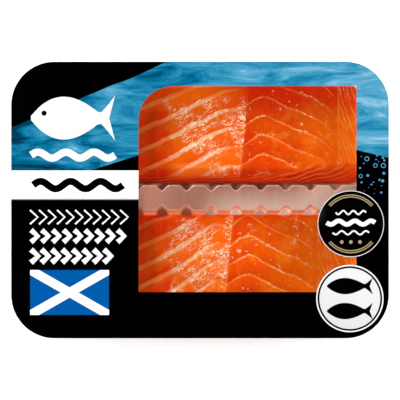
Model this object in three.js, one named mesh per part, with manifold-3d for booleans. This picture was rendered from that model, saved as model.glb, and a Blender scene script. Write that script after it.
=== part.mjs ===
// A sealed pack of two raw salmon fillets: a clear fluted tray with two wells, one fillet in each
// well, and a flat lid film over the rim, printed except for one clear window.
// Millimetres, +Z up. The origin is at the middle of the tray's underside, +X runs along the pack
// and +Y points to the edge that is at the top when the print is read.

import * as THREE from "three";
import { mergeVertices } from "three/addons/utils/BufferGeometryUtils.js";
import Module from "manifold-3d";

// Pack
const PACK_LENGTH = 187;
const PACK_WIDTH = 137;
const PACK_CORNER = 21.5;
const RIM_TOP = 36;
const RIM_WIDTH = 6.5;
const RIM_LIP = 2;
const LEDGE = 0.4;
const SHEET = 0.6;
const DRAFT = Math.tan(THREE.MathUtils.degToRad(1.5));

// Wells and the ridge between them
const RIDGE_TOP = 31;
const RIDGE_WIDTH = 12.3;
const RIDGE_MIDDLE = 1.1;
const WELL_CORNER = 9;
const LEAN_HEIGHT = 5;
const FRONT_WALL_LEAN = 1.3;
const CORNER_STEPS = 3;
const FLOOR_EDGE = 3;
const FLOOR_EDGE_INSET = 2.1;
const FLOOR_RISE = 1.2;
const FLOOR_RISE_INSET = 7;

// Flutes in the wells' walls, with their profile as [share of the half width, share of the depth]
const FLUTE_PITCH = 12.39;
const FLUTE_WIDTH = 7.1;
const FLUTE_DEPTH = 2.5;
const FLUTES_ALONG = 12;
const FLUTES_ACROSS = 2;
const FLUTE_ROW_MIDDLE = -0.6;
const FLUTE_PROFILE = [
  [-1, 0],
  [-0.3, 1],
  [0.3, 1],
  [1, 0],
];

// Lid film, its clear window and the two round labels
const FILM = 0.3;
const WINDOW = { left: -30.4, right: 77.5, front: -45.6, back: 56.4 };
const WINDOW_CORNER = 17;
const PANE_GAP = 0.3;
const LABEL = 0.2;
const LABEL_SIDES = 36;
const CURVE_SEGMENTS = 10;
const LABELS = [
  { name: "label_seal", x: 74.7, y: -11.8, radius: 16.5 },
  { name: "label_count", x: 74.2, y: -48.8, radius: 16.7 },
];

// Fillets. Each is a piece cut across one side of the fish, so it runs from the thin belly at -X,
// which thickens evenly up to the seam along the middle of the side, to the loin and the back at
// +X. belly, loin and end are its thicknesses, and brow is the gap between its back edge and the
// well's wall. The white lines of fat between flakes turn over at seam, and the groove there passes
// through seamMiddle and shifts by seamLean for each mm across. The lines are lineGap apart over the
// belly and loinLineGap over the loin. firstLine is where the first would cross the seam if it kept
// its lineSlope, and each of lineBends changes that slope at a distance past the seam. Past the
// steep band at the back, the relief of the flakes fades.
const FLOOR = SHEET + FLOOR_RISE;
const FILLET_REST = 0.05;
const WALL_SPACE = 0.25;
const FILLETS = {
  back: {
    left: -77,
    right: 82,
    belly: 9.5,
    loin: 23,
    end: 15,
    brow: 0.2,
    seam: 23.3,
    seamMiddle: 21.8,
    seamLean: 0.093,
    firstLine: 65.2,
    lineGap: 10.9,
    loinLineGap: 9.5,
    lineSlope: 0.36,
    lineBends: [
      { past: -39.4, turn: 0.11, softness: 3 },
      { past: -10.7, turn: -0.46, softness: 2 },
      { past: -2.1, turn: 0.73, softness: 0.8 },
      { past: 7.8, turn: -1.24, softness: 1.3 },
      { past: 25, turn: 0.21, softness: 3 },
      { past: 37.6, turn: -0.81, softness: 2.5 },
      { past: 45, turn: -7, softness: 0.7 },
      { past: 49.5, turn: 5.9, softness: 1.2 },
    ],
  },
  front: {
    left: -77,
    right: 82,
    belly: 9.5,
    loin: 22,
    end: 13,
    brow: 0.5,
    seam: 12.9,
    seamMiddle: 13.9,
    seamLean: 0.104,
    firstLine: -3.7,
    lineGap: 10.1,
    loinLineGap: 9.5,
    lineSlope: 0.47,
    lineBends: [
      { past: -21.1, turn: 0.3, softness: 3 },
      { past: -3.4, turn: -1.85, softness: 2 },
      { past: 1, turn: 1.76, softness: 0.8 },
      { past: 11.4, turn: -1.3, softness: 1.3 },
      { past: 27.1, turn: 0.29, softness: 3 },
      { past: 40.8, turn: -0.76, softness: 2.5 },
      { past: 47, turn: -7, softness: 0.7 },
      { past: 52, turn: 5.9, softness: 1.2 },
    ],
  },
};
const BELLY_LENGTH = 15;
const THICKNESS_SOFTNESS = 4;
const END_CORNER = 7;
const LEFT_END_ROUND = 12;
const RIGHT_END_ROUND = 6;
const END_HEIGHT = 0.3;
const SEAM_DEPTH = 0.45;
const SEAM_WIDTH = 3;
const FLAKE_RELIEF = 0.45;
const BACK_BAND = 45;
const BACK_BAND_RELIEF = 0.35;
const FLAKE_LINES = 10;
const FLAKE_POINTS = 4;
const STATIONS = 52;

// The two sides of a fillet's section from the base up, as [distance from the side's outermost
// place, share of the height]. The cut at the front rests against the wall low down and slopes back
// above it, where it shows from above. The cut at the back overhangs.
const FRONT_SIDE = [
  [2.6, 0],
  [0.6, 0.1],
  [0, 0.3],
  [0.3, 0.5],
  [1.4, 0.67],
  [3.3, 0.82],
  [5.5, 0.92],
];
const FRONT_TOP = 7.8;
const BACK_SIDE = [
  [4.7, 0],
  [3.2, 0.08],
  [2.1, 0.3],
  [0.9, 0.55],
  [0.2, 0.74],
  [0, 0.86],
  [0.5, 0.95],
];
const BACK_TOP = 1.7;

const wasm = await Module();
wasm.setup();

// Solids and geometries

function solidOf(geometry) {
  const bare = geometry.clone();
  bare.deleteAttribute("normal");
  bare.deleteAttribute("uv");
  const merged = mergeVertices(bare, 1e-4);
  return new wasm.Manifold(
    new wasm.Mesh({
      numProp: 3,
      vertProperties: merged.attributes.position.array,
      triVerts: new Uint32Array(merged.index.array),
    }),
  );
}

function geometryOf(solid) {
  const mesh = solid.getMesh();
  const geometry = new THREE.BufferGeometry();
  geometry.setAttribute("position", new THREE.BufferAttribute(mesh.vertProperties, 3));
  geometry.setIndex(new THREE.BufferAttribute(mesh.triVerts, 1));
  return geometry;
}

// A closed skin through a stack of loops with equal numbers of points, each anticlockwise seen
// from the stack's far end. capPlane gives the two coordinates in which the end loops are filled;
// it is left out where the end loops have shrunk to a point. Points of neighbouring loops may
// coincide, and the triangles that this leaves without area are dropped.
function loft(loops, capPlane) {
  const count = loops[0].length;
  const points = loops.flat();
  const triangles = [];
  const add = (a, b, c) => {
    const flat = [[a, b], [b, c], [c, a]].some(([i, j]) => points[i].distanceTo(points[j]) < 1e-3);
    if (!flat) triangles.push(a, b, c);
  };
  for (let level = 0; level + 1 < loops.length; level++) {
    for (let i = 0; i < count; i++) {
      const next = (i + 1) % count;
      const low = level * count;
      const high = low + count;
      add(low + i, low + next, high + next);
      add(low + i, high + next, high + i);
    }
  }
  if (capPlane) {
    const last = points.length - count;
    for (const [a, b, c] of THREE.ShapeUtils.triangulateShape(loops[0].map(capPlane), [])) {
      add(c, b, a);
    }
    for (const [a, b, c] of THREE.ShapeUtils.triangulateShape(loops.at(-1).map(capPlane), [])) {
      add(last + a, last + b, last + c);
    }
  }
  const geometry = new THREE.BufferGeometry();
  const positions = points.flatMap((point) => [point.x, point.y, point.z]);
  geometry.setAttribute("position", new THREE.Float32BufferAttribute(positions, 3));
  geometry.setIndex(triangles);
  return geometry;
}

// Tray

const smoothStep = (low, high, value) => THREE.MathUtils.smoothstep(value, low, high);
const planOf = (point) => new THREE.Vector2(point.x, point.y);

// A rectangle with rounded corners, as an extruded plate.
function roundedShape(left, right, front, back, radius) {
  const shape = new THREE.Shape();
  shape.moveTo(left + radius, front);
  shape.lineTo(right - radius, front);
  shape.absarc(right - radius, front + radius, radius, -Math.PI / 2, 0);
  shape.lineTo(right, back - radius);
  shape.absarc(right - radius, back - radius, radius, 0, Math.PI / 2);
  shape.lineTo(left + radius, back);
  shape.absarc(left + radius, back - radius, radius, Math.PI / 2, Math.PI);
  shape.lineTo(left, front + radius);
  shape.absarc(left + radius, front + radius, radius, Math.PI, Math.PI * 1.5);
  return shape;
}

function plate(shape, low, high) {
  const geometry = new THREE.ExtrudeGeometry(shape, {
    depth: high - low,
    bevelEnabled: false,
    curveSegments: CURVE_SEGMENTS,
  });
  return geometry.translate(0, 0, low);
}

function packShape(inset) {
  const x = PACK_LENGTH / 2 - inset;
  const y = PACK_WIDTH / 2 - inset;
  return roundedShape(-x, x, -y, y, PACK_CORNER - inset);
}

const wellX = PACK_LENGTH / 2 - RIM_WIDTH - LEDGE - FLUTE_DEPTH;
const wellY = PACK_WIDTH / 2 - RIM_WIDTH - LEDGE - FLUTE_DEPTH;
const ridgeFront = RIDGE_MIDDLE - RIDGE_WIDTH / 2;
const ridgeBack = RIDGE_MIDDLE + RIDGE_WIDTH / 2;
const WELLS = {
  back: { left: -wellX, right: wellX, front: ridgeBack, back: wellY, lean: 0 },
  front: { left: -wellX, right: wellX, front: -wellY, back: ridgeFront, lean: FRONT_WALL_LEAN },
};

// The upper part of the front well's wall along the ridge leans further than the other walls.
const backWall = (well, z) => well.back - well.lean * Math.min(1, (RIDGE_TOP - z) / LEAN_HEIGHT);

function fluteCentres(count, middle) {
  return Array.from({ length: count }, (_, i) => middle + (i - (count - 1) / 2) * FLUTE_PITCH);
}

// One level of a well: a rounded rectangle whose four sides bulge outwards in flutes.
function wellLoop(well, inset, z) {
  const left = well.left + inset;
  const right = well.right - inset;
  const front = well.front + inset;
  const back = backWall(well, z) - inset;
  const radius = WELL_CORNER - inset;
  const along = fluteCentres(FLUTES_ALONG, FLUTE_ROW_MIDDLE);
  const across = fluteCentres(FLUTES_ACROSS, (well.front + well.back) / 2);
  const reversed = (list) => [...list].reverse();
  const sides = [
    { at: (s, out) => [s, front - out], centres: along, way: 1 },
    { at: (s, out) => [right + out, s], centres: across, way: 1 },
    { at: (s, out) => [s, back + out], centres: reversed(along), way: -1 },
    { at: (s, out) => [left - out, s], centres: reversed(across), way: -1 },
  ];
  const corners = [
    [right - radius, front + radius],
    [right - radius, back - radius],
    [left + radius, back - radius],
    [left + radius, front + radius],
  ];
  const loop = [];
  sides.forEach((side, index) => {
    for (const centre of side.centres) {
      for (const [share, depth] of FLUTE_PROFILE) {
        const s = centre + (side.way * share * FLUTE_WIDTH) / 2;
        loop.push(new THREE.Vector3(...side.at(s, depth * FLUTE_DEPTH), z));
      }
    }
    const [x, y] = corners[index];
    for (let step = 0; step <= CORNER_STEPS; step++) {
      const angle = ((index - 1 + step / CORNER_STEPS) * Math.PI) / 2;
      loop.push(new THREE.Vector3(x + radius * Math.cos(angle), y + radius * Math.sin(angle), z));
    }
  });
  return loop;
}

// The space inside a well or, with grow as the sheet's thickness, the outside of its walls.
function wellSolid(well, floor, top, grow) {
  const inset = (z) => (RIDGE_TOP - z) * DRAFT - grow;
  const edge = floor + FLOOR_EDGE;
  const bends = well.lean > 0 ? [edge, RIDGE_TOP - LEAN_HEIGHT] : [edge];
  const foot = wellLoop(well, inset(edge) + FLOOR_EDGE_INSET, floor);
  const wall = [...bends, top].map((z) => wellLoop(well, inset(z), z));
  return solidOf(loft([foot, ...wall], planOf));
}

// The floor of each well stands a little higher inside a narrow foot, on both of its sides.
function floorPanel(well, grow, low, high) {
  const inset = FLOOR_RISE_INSET - grow;
  const shape = roundedShape(
    well.left + inset,
    well.right - inset,
    well.front + inset,
    backWall(well, 0) - inset,
    WELL_CORNER / 2,
  );
  return solidOf(plate(shape, low, high));
}

function makeTray() {
  const lipInside = solidOf(plate(packShape(SHEET), RIM_TOP - RIM_LIP - 1, RIM_TOP - SHEET));
  const shelf = solidOf(plate(packShape(RIM_WIDTH - SHEET), RIDGE_TOP - SHEET, RIM_TOP));
  const mouth = solidOf(plate(packShape(RIM_WIDTH), RIDGE_TOP, RIM_TOP + 1));
  let tray = solidOf(plate(packShape(0), RIM_TOP - RIM_LIP, RIM_TOP)).subtract(lipInside);
  tray = tray.add(shelf);
  for (const well of Object.values(WELLS)) {
    tray = tray.add(wellSolid(well, 0, RIDGE_TOP, SHEET));
  }
  tray = tray.subtract(mouth);
  for (const well of Object.values(WELLS)) {
    const inside = wellSolid(well, SHEET, RIDGE_TOP + 1, 0);
    tray = tray.subtract(inside.subtract(floorPanel(well, 0, 0, FLOOR)));
    tray = tray.subtract(floorPanel(well, -SHEET, -1, FLOOR_RISE));
  }
  return geometryOf(tray);
}

// Lid

function windowShape(inset) {
  const { left, right, front, back } = WINDOW;
  const shape = new THREE.Shape();
  shape.moveTo(left + inset, front + inset);
  shape.lineTo(right - inset, front + inset);
  shape.lineTo(right - inset, back - inset);
  shape.lineTo(left + WINDOW_CORNER, back - inset);
  const radius = WINDOW_CORNER - inset;
  shape.absarc(left + WINDOW_CORNER, back - WINDOW_CORNER, radius, Math.PI / 2, Math.PI);
  return shape;
}

function makePrintedFilm() {
  const shape = packShape(0);
  shape.holes.push(windowShape(0));
  return plate(shape, RIM_TOP, RIM_TOP + FILM);
}

function makeWindowPane() {
  return plate(windowShape(PANE_GAP), RIM_TOP, RIM_TOP + FILM);
}

function makeLabel({ x, y, radius }) {
  const disc = new THREE.CylinderGeometry(radius, radius, LABEL, LABEL_SIDES);
  return disc.rotateX(Math.PI / 2).translate(x, y, RIM_TOP + FILM + LABEL / 2);
}

// Fillets

// A line that is level before its start and climbs one for one after it, with a soft bend.
const bend = (x, start, softness) => softness * Math.log1p(Math.exp((x - start) / softness));

// How far across the pack the first line of fat lies at x: it climbs from the belly to the seam,
// peaks just past it, falls over the loin and drops steeply at the back.
function firstFatLine(x, fillet) {
  const past = x - fillet.seam;
  let y = fillet.firstLine + fillet.lineSlope * past;
  for (const { past: start, turn, softness } of fillet.lineBends) {
    y += turn * bend(past, start, softness);
  }
  return y;
}

function lineGap(x, fillet) {
  return THREE.MathUtils.lerp(fillet.lineGap, fillet.loinLineGap, smoothStep(-40, 10, x));
}

// A flake swells between the fat on its two sides, which lies in a shallow groove.
function flakeRelief(share) {
  return FLAKE_RELIEF * (Math.sin(Math.PI * share) ** 0.6 - 1);
}

function thickness(x, fillet) {
  const bellyEnd = fillet.left + BELLY_LENGTH;
  const rise = (fillet.loin - fillet.belly) / (fillet.seam - bellyEnd);
  const fall = (fillet.loin - fillet.end) / (fillet.right - fillet.seam);
  return (
    fillet.belly +
    rise * bend(x, bellyEnd, THICKNESS_SOFTNESS) -
    (rise + fall) * bend(x, fillet.seam, THICKNESS_SOFTNESS)
  );
}

// The seam is a shallow groove that leans a little across the fillet.
function seamDip(x, fromMiddle, fillet) {
  const past = x - fillet.seamMiddle - fillet.seamLean * fromMiddle;
  return SEAM_DEPTH * Math.exp(-((past / SEAM_WIDTH) ** 2));
}

// How full the section is near the two rounded ends, from 0 at the very end to 1.
function fullness(x, fillet) {
  const fromLeft = (x - fillet.left) / LEFT_END_ROUND;
  const fromRight = (fillet.right - x) / RIGHT_END_ROUND;
  const nearest = THREE.MathUtils.clamp(Math.min(fromLeft, fromRight), 0, 1);
  return Math.sqrt(1 - (1 - nearest) ** 2);
}

// How far the fillet's four rounded corners draw its sides in at x.
function cornerInset(x, fillet) {
  const fromEnd = Math.min(x - fillet.left, fillet.right - x);
  const into = Math.max(0, END_CORNER - fromEnd);
  return END_CORNER - Math.sqrt(END_CORNER ** 2 - into ** 2);
}

// One section, anticlockwise seen from +X. Its top has four points to a flake, which stop at the
// top's edges, so that each line of fat is an unbroken row of edges.
function filletLoop(x, fillet, well) {
  const full = fullness(x, fillet);
  const height = thickness(x, fillet) * THREE.MathUtils.lerp(END_HEIGHT, 1, full);
  const room = WALL_SPACE + cornerInset(x, fillet);
  const wall = (up) => (RIDGE_TOP - FLOOR - up * height) * DRAFT + room;
  const fromFront = (inset, up) => well.front + wall(up) + inset;
  const fromBack = (inset, up) => backWall(well, 0) - wall(up) - fillet.brow - inset;
  const at = (y, up) => new THREE.Vector3(x, y, FLOOR + FILLET_REST + up * height);
  const frontSide = FRONT_SIDE.map(([inset, up]) => at(fromFront(inset, up), up));
  const backSide = BACK_SIDE.map(([inset, up]) => at(fromBack(inset, up), up));
  const frontTop = fromFront(FRONT_TOP, 1);
  const backTop = fromBack(BACK_TOP, 1);
  const middle = (frontTop + backTop) / 2;
  const evenness = 1 - smoothStep(BACK_BAND - 3, BACK_BAND, x - fillet.seam);
  const top = [];
  for (let line = FLAKE_LINES; line > -FLAKE_LINES; line--) {
    for (let point = 0; point < FLAKE_POINTS; point++) {
      const share = point / FLAKE_POINTS;
      const lineY = firstFatLine(x, fillet) + (line - share) * lineGap(x, fillet);
      const y = THREE.MathUtils.clamp(lineY, frontTop, backTop);
      const across = (y - middle) / (backTop - middle);
      const inside = 1 - across ** 8;
      const flake = flakeRelief(share) * THREE.MathUtils.lerp(BACK_BAND_RELIEF, 1, evenness);
      const relief = (flake - seamDip(x, y - middle, fillet)) * full * inside;
      top.push(at(y, 1 + relief / height));
    }
  }
  return [...backSide, ...top, ...frontSide.reverse()];
}

function makeFillet(fillet, well) {
  const loops = [];
  for (let i = 0; i <= STATIONS; i++) {
    const even = i / STATIONS;
    const share = even - 0.05 * Math.sin(2 * Math.PI * even);
    const x = THREE.MathUtils.lerp(fillet.left, fillet.right, share);
    loops.push(filletLoop(x, fillet, well));
  }
  const closing = (loop) => {
    const centre = new THREE.Box3().setFromPoints(loop).getCenter(new THREE.Vector3());
    return loop.map(() => centre);
  };
  return loft([closing(loops[0]), ...loops, closing(loops.at(-1))]);
}

// Materials

const clearPlastic = () =>
  new THREE.MeshStandardMaterial({
    color: 0xd9cdc6,
    roughness: 0.15,
    metalness: 0,
    transparent: true,
    opacity: 0.35,
  });
const blackPrint = () =>
  new THREE.MeshStandardMaterial({ color: 0x050506, roughness: 0.35, metalness: 0 });
const rawSalmon = () =>
  new THREE.MeshStandardMaterial({ color: 0xe8590c, roughness: 0.28, metalness: 0 });
const whitePrint = () =>
  new THREE.MeshStandardMaterial({ color: 0xf4f4f2, roughness: 0.35, metalness: 0 });

function named(name, geometry, material) {
  const mesh = new THREE.Mesh(geometry, material);
  mesh.name = name;
  return mesh;
}

const pack = new THREE.Group();
pack.add(named("tray", makeTray(), clearPlastic()));
pack.add(named("fillet_back", makeFillet(FILLETS.back, WELLS.back), rawSalmon()));
pack.add(named("fillet_front", makeFillet(FILLETS.front, WELLS.front), rawSalmon()));
pack.add(named("lid_print", makePrintedFilm(), blackPrint()));
pack.add(named("lid_window", makeWindowPane(), clearPlastic()));
pack.add(named(LABELS[0].name, makeLabel(LABELS[0]), blackPrint()));
pack.add(named(LABELS[1].name, makeLabel(LABELS[1]), whitePrint()));

export default pack;
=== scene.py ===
# %% [markdown]
# A sealed pack of two raw salmon fillets, seen from straight above. The packed CAD model is the
# frame: it gives every size and place, and this script dresses it. The clear tray, the fillets and
# the round labels get smoother pieces of their own, the lid film keeps its CAD nodes and gets its
# print, and everything rides on the one body, because food has no joints.
# %% Load the frame
import math
import random

import bpy
import numpy as np
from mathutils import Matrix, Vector
from mathutils.kdtree import KDTree


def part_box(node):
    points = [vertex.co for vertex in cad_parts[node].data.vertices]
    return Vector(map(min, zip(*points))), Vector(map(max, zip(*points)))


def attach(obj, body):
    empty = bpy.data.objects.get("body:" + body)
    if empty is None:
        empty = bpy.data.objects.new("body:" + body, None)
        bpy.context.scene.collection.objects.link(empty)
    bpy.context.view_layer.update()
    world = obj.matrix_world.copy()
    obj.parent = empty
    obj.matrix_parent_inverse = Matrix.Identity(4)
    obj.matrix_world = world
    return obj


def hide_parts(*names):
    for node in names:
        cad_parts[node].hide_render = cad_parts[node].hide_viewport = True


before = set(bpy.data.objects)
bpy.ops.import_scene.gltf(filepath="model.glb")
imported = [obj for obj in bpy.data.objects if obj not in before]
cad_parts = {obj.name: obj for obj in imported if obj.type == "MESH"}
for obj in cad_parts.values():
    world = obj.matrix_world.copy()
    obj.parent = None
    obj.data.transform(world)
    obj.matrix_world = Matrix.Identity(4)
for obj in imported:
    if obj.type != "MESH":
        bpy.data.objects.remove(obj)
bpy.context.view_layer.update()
MM = 0.001
print("nodes", sorted(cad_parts))

# %% [markdown]
# The photograph looks straight down from so far away that both wells' walls look alike, so the
# camera hangs 1.2 m over the film and its lens is chosen from the width that the photo's frame has
# at the film. Everything else is built below it.
# %% Camera
FILM_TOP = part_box("lid_print")[1].z
CAMERA_HEIGHT = 1200 * MM
FRAME_WIDTH = 198.1 * MM
FARTHEST_SEEN = 20
bpy.ops.object.camera_add(location=(0, 0, FILM_TOP + CAMERA_HEIGHT), rotation=(0, 0, 0))
camera = bpy.context.object
camera.name = "camera_above"
camera.data.lens = camera.data.sensor_width * CAMERA_HEIGHT / FRAME_WIDTH
camera.data.clip_end = FARTHEST_SEEN
bpy.context.scene.camera = camera
print("lens", round(camera.data.lens), "mm")

# %% [markdown]
# Materials are written as arithmetic. A Wire is one output of a node, and adding or multiplying
# wires adds Math nodes behind it, so a recipe reads as a formula rather than as a list of links.
# Colours are mixed with a Mix node, because a Math node would turn them grey.
# %% Shader arithmetic
class Wire:
    def __init__(self, tree, socket=None):
        self.tree = tree
        self.socket = socket

    def node(self, kind, settings=None, sockets=None, out=0):
        made = self.tree.nodes.new(kind)
        for name, value in (settings or {}).items():
            if name == "stops":
                set_stops(made.color_ramp, value)
            else:
                setattr(made, name, value)
        for name, value in (sockets or {}).items():
            feed(made.inputs[name], value)
        return Wire(self.tree, made.outputs[out])

    def maths(self, operation, *others):
        values = dict(enumerate([self, *others]))
        return self.node("ShaderNodeMath", {"operation": operation}, values)

    def __add__(self, other):
        return self.maths("ADD", other)

    def __sub__(self, other):
        return self.maths("SUBTRACT", other)

    def __rsub__(self, other):
        return self.node("ShaderNodeMath", {"operation": "SUBTRACT"}, {0: other, 1: self})

    def __mul__(self, other):
        return self.maths("MULTIPLY", other)

    def __truediv__(self, other):
        return self.maths("DIVIDE", other)

    def __pow__(self, other):
        return self.maths("POWER", other)

    def __abs__(self):
        return self.maths("ABSOLUTE")

    __radd__ = __add__
    __rmul__ = __mul__

    def step(self, low, high, smooth=True):
        kind = "SMOOTHSTEP" if smooth else "LINEAR"
        sockets = {"Value": self, "From Min": low, "From Max": high}
        return self.node("ShaderNodeMapRange", {"interpolation_type": kind}, sockets)

    def mix(self, low, high):
        settings = {"data_type": "RGBA", "clamp_factor": True}
        return self.node("ShaderNodeMix", settings, {0: self, 6: low, 7: high}, out=2)

    def noise(self, scale, detail=2, roughness=0.5, distortion=0):
        sockets = {"Vector": self, "Scale": scale, "Detail": detail}
        sockets |= {"Roughness": roughness, "Distortion": distortion}
        return self.node("ShaderNodeTexNoise", None, sockets)

    def scaled(self, x, y, z, turn=0):
        sockets = {"Vector": self, "Scale": (x, y, z), "Rotation": (0, 0, turn)}
        return self.node("ShaderNodeMapping", {"vector_type": "POINT"}, sockets)

    def axes(self):
        split = self.node("ShaderNodeSeparateXYZ", None, {0: self}).socket.node
        return [Wire(self.tree, output) for output in split.outputs]


def feed(socket, value):
    """Set a socket to a value, or link a wire to it."""
    if isinstance(value, Wire):
        value.tree.links.new(value.socket, socket)
    else:
        socket.default_value = value


def set_stops(ramp, stops):
    while len(ramp.elements) < len(stops):
        ramp.elements.new(0.5)
    for element, (position, colour) in zip(ramp.elements, stops):
        element.position = position
        element.color = colour


print("a wire can", [name for name in vars(Wire) if name[0] != "_"])

# %% [markdown]
# Every material starts as a Principled shader, reads its place on the pack in mm, and ends with a
# list of what goes into the shader's sockets. A colour that was read in the photo is turned into the
# linear one that Blender works with.
# %% Material helpers
def new_material(name):
    material = bpy.data.materials.new(name)
    material.use_nodes = True
    return material, Wire(material.node_tree)


def place_in_mm(start):
    """Object coordinates as they are, for noise, and then x, y and z in mm."""
    place = start.node("ShaderNodeTexCoord", out=3)
    return place, *place.scaled(1 / MM, 1 / MM, 1 / MM).axes()


def finish_material(material, sockets):
    shader = material.node_tree.nodes["Principled BSDF"]
    for name, value in sockets.items():
        feed(shader.inputs[name], value)
    return material


def linear(red, green, blue, light=1.0):
    """A colour read in the photo, 0 to 255, as the linear one that looks so under that much light."""
    channel = [c / 255 for c in (red, green, blue)]
    lit = [c / 12.92 if c <= 0.04045 else ((c + 0.055) / 1.055) ** 2.4 for c in channel]
    return (*[min(1.0, c / light) for c in lit], 1)


print("a photo grey of 128 is", round(linear(128, 128, 128)[0], 3), "in linear light")

# %% [markdown]
# The studio's sky. Glossy black film stays black in the photo, so nothing bright hangs right over
# it: the sky is dark round the zenith, bright at middle heights, dimmer near the horizon, and a
# little brighter behind the pack and to its right. Each pair below is a height, from 0 at the
# horizon to 1 overhead, and how bright the sky is there.
# %% Sky
SKY_BY_HEIGHT = [(0.0, 1.2), (0.3, 2.1), (0.5, 2.6), (0.66, 2.6), (0.76, 0.02), (1.0, 0.015)]
SKY_RIGHT_SHARE = 0.25
SKY_BACK_SHARE = 0.45


def light_studio():
    world = bpy.data.worlds.new("studio")
    bpy.context.scene.world = world
    world.use_nodes = True
    right, back, height = Wire(world.node_tree).node("ShaderNodeTexCoord").axes()
    by_height = height.node("ShaderNodeFloatCurve", None, {"Value": height})
    mapping = by_height.socket.node.mapping
    points = mapping.curves[0].points
    peak = max(radiance for _, radiance in SKY_BY_HEIGHT)
    points[0].location = (0, SKY_BY_HEIGHT[0][1] / peak)
    points[1].location = (1, SKY_BY_HEIGHT[-1][1] / peak)
    for sky_height, radiance in SKY_BY_HEIGHT[1:-1]:
        points.new(sky_height, radiance / peak).handle_type = "VECTOR"
    mapping.update()
    tilt = (right * SKY_RIGHT_SHARE + back * SKY_BACK_SHARE + 1) * peak
    background = world.node_tree.nodes["Background"]
    feed(background.inputs["Strength"], by_height * tilt)
    feed(background.inputs["Color"], (1, 1, 1, 1))


bpy.context.scene.view_settings.view_transform = "Standard"
light_studio()
print("the sky is brightest at", max(SKY_BY_HEIGHT, key=lambda pair: pair[1])[0], "of the way up")

# %% [markdown]
# One soft lamp stands off to the upper left and throws the print's soft shadow on the belly side of
# the fish. The floor is white paper that glows a little, so that it stays white around the pack.
# %% Lamp and floor
LAMP_TOWARDS = Vector((-0.45, 0.16, 1)).normalized()
LAMP_DISTANCE = 1.5
LAMP_RADIUS = 0.21
LAMP_RADIANCE = 14
FLOOR_SIZE = 8
FLOOR_GLOW = 0.3


def hang_lamp():
    place = LAMP_TOWARDS * LAMP_DISTANCE + Vector((0, 0, FILM_TOP))
    turn = LAMP_TOWARDS.to_track_quat("Z", "Y").to_euler()
    bpy.ops.object.light_add(type="AREA", location=place, rotation=turn)
    lamp = bpy.context.object
    lamp.name = "lamp_upper_left"
    lamp.data.shape = "DISK"
    lamp.data.size = 2 * LAMP_RADIUS
    lamp.data.energy = LAMP_RADIANCE * math.pi * math.pi * LAMP_RADIUS**2


def lay_floor():
    bpy.ops.mesh.primitive_plane_add(size=FLOOR_SIZE, location=(0, 0, 0))
    floor = bpy.context.object
    floor.name = "floor"
    paper, _ = new_material("white_paper")
    finish_material(paper, {
        "Base Color": (0.93, 0.93, 0.93, 1),
        "Roughness": 0.9,
        "Specular IOR Level": 0.1,
        "Emission Color": (1, 1, 1, 1),
        "Emission Strength": FLOOR_GLOW,
    })
    floor.data.materials.append(paper)


hang_lamp()
lay_floor()
print("lamp is", round(math.degrees(LAMP_TOWARDS.angle((0, 0, 1)))), "degrees off straight above")

# %% [markdown]
# The hollows of the ridge. Flutes run along both of its edges, and the hollow under each catches
# some of the salmon's light: dim at the back with a few glints, brighter in front, where a gap
# shows between each two. Light that a sheet has gathered doesn't come out of a clear shader by
# itself, so these colours go into the tray's emission, where they stand in for it.
# %% Light in the ridge's hollows
BACK_HOLLOW = (0.035, 0.004, 0.001, 1)
BACK_GLINT = (0.17, 0.085, 0.05, 1)
LEFT_HOLLOW = (0.10, 0.020, 0.006, 1)
RIGHT_HOLLOW = (0.26, 0.12, 0.085, 1)
HOLLOW_GLINT = (0.50, 0.36, 0.26, 1)
FRONT_GAP = (0.11, 0.028, 0.004, 1)
FRONT_DEEP = (0.50, 0.11, 0.03, 1)


def hollow_glow(place, x, y, z, past_flute):
    hollow = x.step(-15, 20).mix(LEFT_HOLLOW, RIGHT_HOLLOW)
    glint = y.step(-4.2, -5.6) * x.step(0, 12) * place.noise(70, 1).step(0.3, 0.6)
    hollow = glint.mix(hollow, HOLLOW_GLINT)
    gap = z.step(26.5, 25).mix(FRONT_GAP, FRONT_DEEP)
    front = abs(past_flute).step(2.3, 3.3).mix(hollow, gap)
    back = place.noise(150, 1).step(0.44, 0.6).mix(BACK_HOLLOW, BACK_GLINT)
    return y.step(3, 0).mix(back, front)


print("hollows glow by", [colour[0] for colour in (BACK_HOLLOW, LEFT_HOLLOW, RIGHT_HOLLOW, FRONT_DEEP)])

# %% [markdown]
# The clear tray is a thin thermoformed sheet that light passes through, and a lone Principled shader
# with a low alpha says so. A real sheet also gathers the salmon's light, most of all in the ridge
# between the wells. Alpha scatters none of it, so the ridge is made less clear than the walls and
# that light is painted into its colour: its top runs from painted shade at the left to painted light
# at the right and towards the front, its ends get more painted light where the print's shadow falls
# on them, and its walls are painted with the salmon's orange light, with painted shade towards the
# foot. Its edge gets a painted highlight, brightest where a flute turns to the right. The window is
# thinner and clearer still.
# %% Clear tray and clear film
RIDGE_TOP = 31
RIDGE_MIDDLE = 1.1
FLUTE_PITCH = 12.39
FLUTE_ROW_MIDDLE = -0.6
CLEAR_SHEET = (0.42, 0.38, 0.36, 1)
# The wall and ridge colours below are painted salmon light and painted shade.
WALL_FOOT_SHADE = (0.34, 0.12, 0.06, 1)
WALL_HEAD_SALMON_LIGHT = (0.70, 0.21, 0.06, 1)
RIDGE_SHADE = (0.32, 0.135, 0.095, 1)
RIDGE_LIGHT = (0.57, 0.38, 0.295, 1)
RIDGE_LEFT_PAINTED_LIGHT = (0.56, 0.25, 0.168, 1)
RIDGE_RIGHT_PAINTED_LIGHT = (0.90, 0.62, 0.50, 1)
# The edge colours are painted highlights.
RIDGE_EDGE_HIGHLIGHT = (0.8, 0.42, 0.3, 1)
BRIGHT_EDGE_HIGHLIGHT = (1.0, 0.84, 0.76, 1)


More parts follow.
